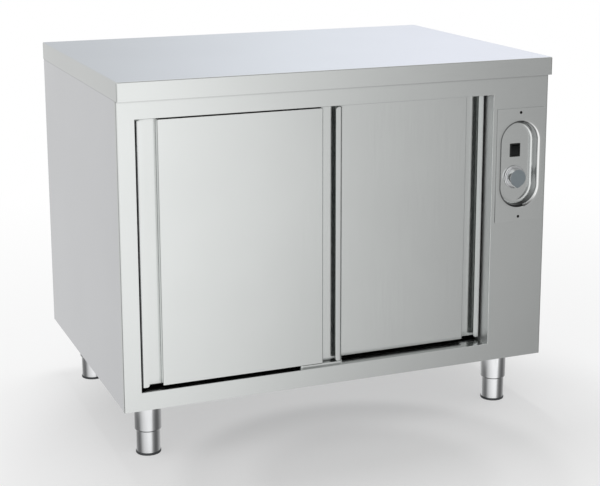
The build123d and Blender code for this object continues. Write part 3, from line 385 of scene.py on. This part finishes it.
# the bowl is one sheet with the plate; its wall is painted darker and its rim on the right painted
# brighter, and both are painted darker downwards: painted reflections of a dark and a bright side
# of a room, which such steel mirrors
painted_rim_highlight = ground_steel("painted_rim_highlight", (0.93, 0.94, 0.93), "X", rough=0.07, streak=0.01,
                               shade_band=(BOWL_BOTTOM - 0.004, BOWL_BOTTOM + 0.022, 0.08))
painted_dark_wall = ground_steel("painted_dark_wall", (0.40, 0.41, 0.41), "Y", rough=0.12, crevice=0.05, unshaded_at=0.75,
                           shade_band=(BOWL_BOTTOM + 0.003, BOWL_BOTTOM + 0.036, 0.1))


def stadium(t, reach):
    """Upright stadium at a distance reach from the line between the two arc centres: the point on
    a circle of that radius at angle t, moved up or down by half the straight length."""
    x = reach * np.cos(t)
    z = reach * np.sin(t) + BOWL_STRAIGHT * np.where(np.sin(t) >= 0, 1, -1)
    return PLATE_X + x, BOWL_Z + z


def flat_fill(outline, holes, y):
    """Flat triangles in the plane y between an outline and holes, each a list of (x, z). Each
    triangle is turned round if needed, so that it looks to -Y."""
    loops = [[(x, y, z) for x, z in loop] for loop in (outline, *holes)]
    corners = [point for loop in loops for point in loop]
    triangles = []
    for a, b, c in tessellate_polygon(loops):
        at_a, at_b, at_c = (np.array(corners[i]) for i in (a, b, c))
        front = np.cross(at_b - at_a, at_c - at_a)[1] < 0
        triangles.append((a, b, c) if front else (a, c, b))
    return corners, triangles


def pressed_plate():
    """The bowl is its section carried round a stadium: rim arc, wall at 5 degrees, floor arc. Column
    v is (distance from the centre line, depth), and t runs round the stadium, with 0 and pi twice
    for its straight sides. The face round the bowl and its floor are flat fills, and the thickness
    goes on behind."""
    draft = tan(radians(5))
    half_way = (BOWL_RADIUS - draft * BOWL_DEPTH / 2, BOWL_DEPTH / 2)
    rim_bend = rounded([(BOWL_RADIUS + 0.0105, 0), (BOWL_RADIUS, 0), half_way], 0.01, 12)
    floor_bend = rounded([half_way, (BOWL_RADIUS - draft * BOWL_DEPTH, BOWL_DEPTH),
                          (BOWL_RADIUS - 0.012, BOWL_DEPTH)], 0.005, 8)
    section = rim_bend + floor_bend[1:]
    half = np.linspace(0, pi, 49)
    t = np.concatenate([half, half + pi])
    reach, depth = np.array(section).T
    x, z = stadium(t[:, None], reach[None, :])
    points = np.stack([x, PLATE_FACE + depth[None, :] + 0 * x, z], -1)
    bowl = grid_mesh("bowl", points)
    corners = [v.co[:] for v in bowl.vertices]
    faces = [tuple(p.vertices) for p in bowl.polygons]
    # faces of the wall from further up on the left (painted dark) and of the rim's bend on the right
    # (painted highlight)
    column = np.arange(len(section) - 1)[None, :]
    to_the_right = (np.cos(t) > 0.2)[:, None]
    on_rim = ((column >= 1) & (column < 8) & to_the_right).ravel()
    on_wall = ((column >= np.where(to_the_right, 11, 3)) & (column <= len(rim_bend))).ravel()
    bpy.data.meshes.remove(bowl)
    low_x, high_x, low_z, high_z = plate_low.x, plate_high.x, plate_low.z, plate_high.z
    face_outline = [(low_x, low_z), (high_x, low_z), (high_x, high_z), (low_x, high_z)]
    rim = list(zip(*stadium(t, reach[0])))
    floor_rim = list(zip(*stadium(t, reach[-1])))
    hole = [(PLATE_X + a * SWITCH_HOLE[0], SWITCH_Z + b * SWITCH_HOLE[1])
            for a, b in ((-1, -1), (1, -1), (1, 1), (-1, 1))]
    neck = [(PLATE_X + NECK_RADIUS * cos(a), KNOB_Z + NECK_RADIUS * sin(a))
            for a in np.linspace(0, 2 * pi, 24, False)]
    for outline, holes, y in ((face_outline, [rim], PLATE_FACE),
                              (floor_rim, [hole, neck], PLATE_FACE + BOWL_DEPTH)):
        flat_corners, triangles = flat_fill(outline, holes, y)
        faces += [tuple(len(corners) + i for i in triangle) for triangle in triangles]
        corners += flat_corners
    mesh = bpy.data.meshes.new("pressed_plate")
    mesh.from_pydata(corners, [], faces)
    for material in (plate_steel, painted_dark_wall, painted_rim_highlight):
        mesh.materials.append(material)
    finish = np.zeros(len(faces), int)
    finish[:len(on_wall)] = np.where(on_rim, 2, on_wall)
    mesh.polygons.foreach_set("material_index", finish)
    piece = finish_piece("pressed_plate", mesh, 30)
    wall = piece.modifiers.new("thickness", "SOLIDIFY")
    wall.thickness = PLATE_THICKNESS
    wall.offset = -1
    wall.material_offset_rim = 1
    piece.modifiers.move(1, 0)
    return piece


plate = pressed_plate()
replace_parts(plate, "control_plate")
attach(plate, "cabinet")
# the screw heads are painted near black with little gloss: painted shade on them
dark_screw = soft_solid("screw_head_painted_shade", (0.006, 0.006, 0.006), 0.6, 900, 0.2, 0.1)
dark_screw.node_tree.nodes["Principled BSDF"].inputs["Specular IOR Level"].default_value = 0.15
for which, z in (("upper", PLATE_Z + SCREW_REACH), ("lower", PLATE_Z - SCREW_REACH)):
    head = raised_screw(f"plate_screw_{which}", PLATE_X, z, PLATE_FACE, -1, radius=0.0033)
    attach(wear(head, dark_screw), "cabinet")


# Switch: black nylon housing snapped into the bowl, with a glossy rocker that tips on two pins.

gloss_black = soft_solid("glossy_black", (0.008, 0.009, 0.009), 0.22, 300, 0.2, 0.03)
gloss_black.node_tree.nodes["Principled BSDF"].inputs["Specular IOR Level"].default_value = 0.3
satin_black = soft_solid("satin_black", (0.010, 0.010, 0.010), 0.45, 600, 0.2, 0.1)
wear(ease("switch_housing", 0.0003), satin_black)
wear(ease("rocker", 0.0004), gloss_black)


# Thermostat knob: a grey cap with a pointer tip on a bright stepped skirt, pushed on the spindle of
# the thermostat behind the bowl's floor.

knob_low, knob_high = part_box("thermostat_knob")
FACE_RADIUS = 0.020
TIP_REACH = 0.024
knob_grey = soft_solid("knob_grey", (0.245, 0.283, 0.306), 0.5, 900, 0.06, 0.08)
turned_metal = ground_steel("turned_metal", (0.80, 0.81, 0.82), "X", rough=0.14, streak=0.02, crevice=0.1)


def knob_cap():
    """Level v is (growth, y): the outline, grown by growth, at that y. The outline's radius is
    FACE_RADIUS, or FACE_RADIUS / cos(tangent - angle) within the tangent angle of the tip, less a
    narrow bell curve that rounds the tip itself."""
    tangent = acos(FACE_RADIUS / TIP_REACH)
    t = np.linspace(-pi, pi, 128, endpoint=False)
    turn = np.maximum(tangent - np.abs(t), 0)
    outline = FACE_RADIUS / np.cos(turn)
    outline -= 0.0007 * np.exp(-(t / 0.09) ** 2)
    front, back = knob_low.y, knob_high.y
    growth = tan(radians(7)) * (back - front)
    levels = rounded([(-FACE_RADIUS, front), (0, front), (growth, back), (-FACE_RADIUS, back)], 0.001, 5)
    grow, y = np.array(levels).T
    share = np.clip((outline[:, None] + grow[None, :]) / outline[:, None], 0, None)
    reach = np.where(grow[None, :] <= -FACE_RADIUS, 0, outline[:, None] * share)
    x = PLATE_X + reach * np.sin(t)[:, None]
    z = KNOB_Z - reach * np.cos(t)[:, None]
    points = np.stack([x, y[None, :] + 0 * x, z], -1)
    mesh = grid_mesh("knob_cap", points[::-1])
    for material in (knob_grey, turned_metal):
        mesh.materials.append(material)
    on_face = np.tile(np.arange(len(levels) - 1) < 3, len(t))
    mesh.polygons.foreach_set("material_index", (~on_face).astype(int))
    return finish_piece("knob_cap", mesh, 40)


cap = knob_cap()
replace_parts(cap, "thermostat_knob")
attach(cap, "knob")

skirt_low, skirt_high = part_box("knob_skirt")
base, top = skirt_high.y, skirt_low.y
bright = ground_steel("bright_ring", (0.86, 0.87, 0.88), "X", rough=0.09, streak=0.01, mottle=0.01)
ring_profile = rounded([(0.008, base), (0.027, base), (0.0266, base - 0.0025), (0.0245, base - 0.0025),
                        (0.0241, top), (0.0205, top), (0.0205, top + 0.0003), (0.008, top + 0.0003),
                        (0.008, base)], 0.0009, 4)
ring = turned("bright_skirt", ring_profile, (PLATE_X, 0, KNOB_Z), "Y")
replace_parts(wear(ring, bright), "knob_skirt")
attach(ring, "knob")
wear(ease("thermostat_spindle"), bright)
phenolic = soft_solid("phenolic", (0.035, 0.03, 0.028), 0.45, 500, 0.2, 0.1)
wear(ease("thermostat_body", 0.0005), phenolic)
copper = ground_steel("copper_tube", (0.72, 0.42, 0.28), "Y", rough=0.3)
wear(ease("thermostat_bulb"), copper)


# Heating unit: a duct box behind the partition with a square tubular element round a radial fan,
# driven by a motor on the back of the box.

wear(ease("fan_duct"), zinc)
heater_sheath = ground_steel("heater_sheath", (0.22, 0.20, 0.19), "Z", rough=0.5, mottle=0.2)
wear(ease("heater_element"), heater_sheath)
wear(ease("fan_motor", 0.0015), soft_solid("motor_enamel", (0.05, 0.055, 0.06), 0.4, 400, 0.1, 0.15))
fan_metal = ground_steel("fan_aluminium", (0.74, 0.75, 0.76), "X", rough=0.35)
wear(ease("fan_impeller"), fan_metal)
wear(ease("fan_shaft"), bright)


# Wiring: terminal block and cable gland on the base pan, and a bundle of wires up to the switch.

wear(ease("terminal_block", 0.0004), phenolic)
cable_black = soft_solid("cable_black", (0.025, 0.025, 0.026), 0.5, 600, 0.15, 0.15)
wear(ease("wiring_loom"), cable_black)
wear(ease("cable_gland"), cable_black)


# Legs: a bright steel sleeve under each corner with a stud through the base pan, and inside it a
# foot tube that screws down, closed by a dark plastic pad. Each is a section turned about its axis.

wear(ease("leg_mounts"), zinc)
leg_steel = ground_steel("leg_steel", (0.86, 0.87, 0.88), "Z", rough=0.16, mottle=0.04)
pad_plastic = soft_solid("pad_plastic", (0.07, 0.075, 0.08), 0.45, 700, 0.12, 0.15)
sleeve_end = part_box("leg_sleeves")[0].z
sleeve_top = back_low.z + 0.001
stud_end = sleeve_top + 0.016
sleeve_roof = sleeve_top - 0.003
for corner in ("front_left", "front_right", "back_left", "back_right"):
    tube_low, tube_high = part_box(f"foot_{corner}")
    x, y = ((tube_low + tube_high) / 2)[:2]
    sleeve_profile = rounded([(0, stud_end), (0.005, stud_end), (0.005, sleeve_top), (0.03, sleeve_top),
                              (0.03, sleeve_end + 0.0025), (0.0282, sleeve_end), (0.0268, sleeve_end),
                              (0.0268, sleeve_roof), (0, sleeve_roof)], 0.0012, 4)
    sleeve = turned(f"leg_sleeve_{corner}", sleeve_profile, (x, y, 0), "Z", flip=True)
    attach(wear(sleeve, leg_steel), "cabinet")
    if corner == "front_left":
        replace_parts(sleeve, "leg_sleeves")
    low, high = tube_low.z, tube_high.z
    tube_profile = rounded([(0, low), (0.0265, low), (0.0265, high), (0.0245, high), (0.0245, low + 0.002),
                            (0, low + 0.002)], 0.0006, 3)
    tube = turned(f"foot_tube_{corner}", tube_profile, (x, y, 0), "Z")
    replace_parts(wear(tube, leg_steel), f"foot_{corner}")
    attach(tube, f"foot_{corner}_adjuster")
    pad_profile = rounded([(0, 0), (0.0275, 0), (0.0275, low), (0, low)], 0.0012, 4)
    pad = turned(f"foot_pad_cap_{corner}", pad_profile, (x, y, 0), "Z")
    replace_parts(wear(pad, pad_plastic), f"foot_pad_{corner}")
    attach(pad, f"foot_{corner}_adjuster")


# Studio: a pale matt floor that fades to the white backdrop, two lamps, and round the set a ring of
# grey screens under a lighter ceiling. Only reflections see screens and ceiling; they give the sheet
# its shades, from bright on the left to dark towards the controls.

def plane(name, corners, material):
    """One quad of the set, which is stage and no part of the cabinet."""
    mesh = bpy.data.meshes.new(name)
    mesh.from_pydata(corners, [], [(0, 1, 2, 3)])
    piece = bpy.data.objects.new(name, mesh)
    bpy.context.scene.collection.objects.link(piece)
    wear(piece, material)
    return piece


floor_paint = bpy.data.materials.new("floor_paint")
floor_paint.use_nodes = True
add, link = node_maker(floor_paint)
paint = floor_paint.node_tree.nodes["Principled BSDF"]
paint.inputs["Base Color"].default_value = (0.80, 0.80, 0.80, 1)
paint.inputs["Roughness"].default_value = 1.0
paint.inputs["Specular IOR Level"].default_value = 0.0
# the floor stays grey round the cabinet and glows white, for the camera alone, far from it; near
# the cabinet the glow's steps are painted light under it and painted shade in front of it
FADE_END = 3.0
place = add("ShaderNodeTexCoord")
away = add("ShaderNodeVectorMath", operation="DISTANCE")
link(place.outputs["Object"], away.inputs[0])
away.inputs[1].default_value = (-0.02, -0.55, 0)
metres = add("ShaderNodeMapRange", **{"From Max": FADE_END})
link(away.outputs["Value"], metres.inputs["Value"])
far = add("ShaderNodeValToRGB")
far.color_ramp.interpolation = "EASE"
fade = [(0, 0.26), (0.2, 0.28), (0.3, 0.38), (0.37, 0.37), (0.45, 0.48), (0.7, 0.48), (0.95, 0.64),
        (2.9, 1)]
while len(far.color_ramp.elements) < len(fade):
    far.color_ramp.elements.new(0.5)
for element, (reach, level) in zip(far.color_ramp.elements, fade):
    element.position = reach / FADE_END
    element.color = (level, level, level, 1)
link(metres.outputs["Result"], far.inputs["Fac"])
seen = add("ShaderNodeLightPath")
white_there = add("ShaderNodeMath", operation="MULTIPLY")
link(far.outputs["Color"], white_there.inputs[0])
link(seen.outputs["Is Camera Ray"], white_there.inputs[1])
white = add("ShaderNodeEmission", Strength=1.0)
blend = add("ShaderNodeMixShader")
link(white_there.outputs["Value"], blend.inputs["Fac"])
link(paint.outputs["BSDF"], blend.inputs[1])
link(white.outputs["Emission"], blend.inputs[2])
link(blend.outputs["Shader"], floor_paint.node_tree.nodes["Material Output"].inputs["Surface"])
ground = plane("studio_floor", [(-30, -30, 0), (30, -30, 0), (30, 30, 0), (-30, 30, 0)], floor_paint)
ground.visible_glossy = False

world = bpy.data.worlds.new("studio")
bpy.context.scene.world = world
world.use_nodes = True
add, link = node_maker(world)
toward = add("ShaderNodeTexCoord")
# the angle round the cabinet, from the side where the camera stands
front_left = add("ShaderNodeVectorMath", operation="DOT_PRODUCT")
front_left.inputs[1].default_value = (-0.3624, -0.9320, 0)
link(toward.outputs["Generated"], front_left.inputs[0])
rightward = add("ShaderNodeVectorMath", operation="DOT_PRODUCT")
rightward.inputs[1].default_value = (0.9320, -0.3624, 0)
link(toward.outputs["Generated"], rightward.inputs[0])
turn = add("ShaderNodeMath", operation="ARCTAN2")
link(rightward.outputs["Value"], turn.inputs[0])
link(front_left.outputs["Value"], turn.inputs[1])
bearing = add("ShaderNodeMapRange", **{"From Min": -pi, "From Max": pi})
link(turn.outputs["Value"], bearing.inputs["Value"])
height = add("ShaderNodeSeparateXYZ")
link(toward.outputs["Generated"], height.inputs["Vector"])
lift = add("ShaderNodeMapRange", **{"From Min": -1.0, "From Max": 1.0})
link(height.outputs["Z"], lift.inputs["Value"])


def ramp_of(source, steps, span):
    """Ramp of (position, level or colour) steps over a source that covers -span to span."""
    ramp = add("ShaderNodeValToRGB")
    while len(ramp.color_ramp.elements) < len(steps):
        ramp.color_ramp.elements.new(0.5)
    for element, (position, *colour) in zip(ramp.color_ramp.elements, steps):
        element.position = position / (2 * span) + 0.5
        element.color = (*(colour * 3)[:3], 1)
    link(source.outputs["Result"], ramp.inputs["Fac"])
    return ramp.outputs["Color"]


def mixed(share, first, second, blend="MIX"):
    """Mix of two colour sockets by a share, which is a socket or a number."""
    mix = add("ShaderNodeMix", data_type="RGBA", blend_type=blend)
    if isinstance(share, float):
        mix.inputs[0].default_value = share
    else:
        link(share, mix.inputs[0])
    link(first, mix.inputs[6])
    link(second, mix.inputs[7])
    return mix.outputs[2]


def share_of(value, start, end):
    """Share that grows from 0 to 1 while a value socket goes from start to end."""
    grown = add("ShaderNodeMapRange", **{"From Min": start, "From Max": end})
    link(value, grown.inputs["Value"])
    return grown.outputs["Result"]


# the screens by angle from the camera's side: low down as they are, higher up lighter at the sides
# and less bright in front
screens = [(-180, 0.95), (-160, 1.10), (-146, 1.19), (-129, 0.50), (-110, 0.37), (-95, 0.24), (-83, 0.19),
           (-71, 0.24), (-61, 0.43), (-51, 0.63), (-32, 0.90), (-2, 1.12), (17, 1.22), (28, 1.16),
           (37, 1.11), (40.6, 0.88), (43.4, 0.70), (45, 0.61), (47, 0.55), (49, 0.475), (52, 0.39),
           (64, 0.23), (74, 0.16), (85, 0.16), (96, 0.20), (109, 0.33), (124, 0.52), (142, 0.70),
           (160, 1.0), (180, 0.95)]
lighter = [(angle, max(level, 0.55) if -130 < angle < -55 or 100 < angle < 130 else level)
           for angle, level in screens if not -40 < angle < 30]
lighter[10:10] = [(-32, 0.80), (-10, 0.93), (8, 0.93), (16, 0.85), (29, 0.87), (33.5, 1.18)]
foot = ramp_of(bearing, screens, 180)
wall = ramp_of(bearing, lighter, 180)
behind = ramp_of(lift, [(-0.85, 0.15), (-0.6, 0.55), (-0.3, 0.6), (0, 0.6)], 1)
before = ramp_of(lift, [(-0.85, 0.2), (-0.6, 0.72), (-0.45, 0.80), (-0.385, 0.82), (-0.37, 0.72),
                        (-0.35, 0.82), (-0.335, 0.89), (-0.32, 0.95), (-0.27, 1.0)], 1)
at_front = share_of(front_left.outputs["Value"], -0.2, 0.3)
around = mixed(1.0, mixed(share_of(height.outputs["Z"], -0.35, -0.28), foot, wall),
               mixed(at_front, behind, before), "MULTIPLY")
# the ceiling is bluish behind the cabinet, where the worktop mirrors it
above = ramp_of(bearing, [(-180, 0.83, 0.86, 0.93), (-172, 0.61, 0.63, 0.67), (-160, 0.62, 0.63, 0.65),
                          (-130, 0.72), (-60, 0.80), (10, 0.80), (36, 0.42), (70, 0.33), (95, 0.72),
                          (130, 0.85), (160, 0.92, 0.94, 1.0), (173, 0.92, 0.94, 1.04),
                          (180, 0.83, 0.86, 0.93)], 180)
mirrored = mixed(share_of(height.outputs["Z"], 0.0, 0.1), around, above)
ray = add("ShaderNodeLightPath")
surround = add("ShaderNodeMix", data_type="RGBA")
link(ray.outputs["Is Glossy Ray"], surround.inputs["Factor"])
surround.inputs[6].default_value = (0.62, 0.62, 0.62, 1)
link(mirrored, surround.inputs[7])
backdrop = add("ShaderNodeMix", data_type="RGBA")
link(ray.outputs["Is Camera Ray"], backdrop.inputs["Factor"])
link(surround.outputs[2], backdrop.inputs[6])
backdrop.inputs[7].default_value = (1, 1, 1, 1)
link(backdrop.outputs[2], world.node_tree.nodes["Background"].inputs["Color"])
bpy.context.scene.view_settings.view_transform = "Standard"


def lamp(name, place, aim, size, power):
    """Square area lamp at a place, turned to face a point."""
    light = bpy.data.lights.new(name, "AREA")
    light.energy = power
    light.size = size
    made = bpy.data.objects.new(name, light)
    made.location = place
    made.rotation_euler = (Vector(aim) - Vector(place)).to_track_quat("-Z", "Y").to_euler()
    made.visible_glossy = False
    bpy.context.scene.collection.objects.link(made)


lamp("key", (-2.6, -2.2, 4.2), (0, 0, 0.4), 3.0, 12)
lamp("back", (0.1, 1.0, 4.0), (0, 0, 0.2), 1.6, 70)
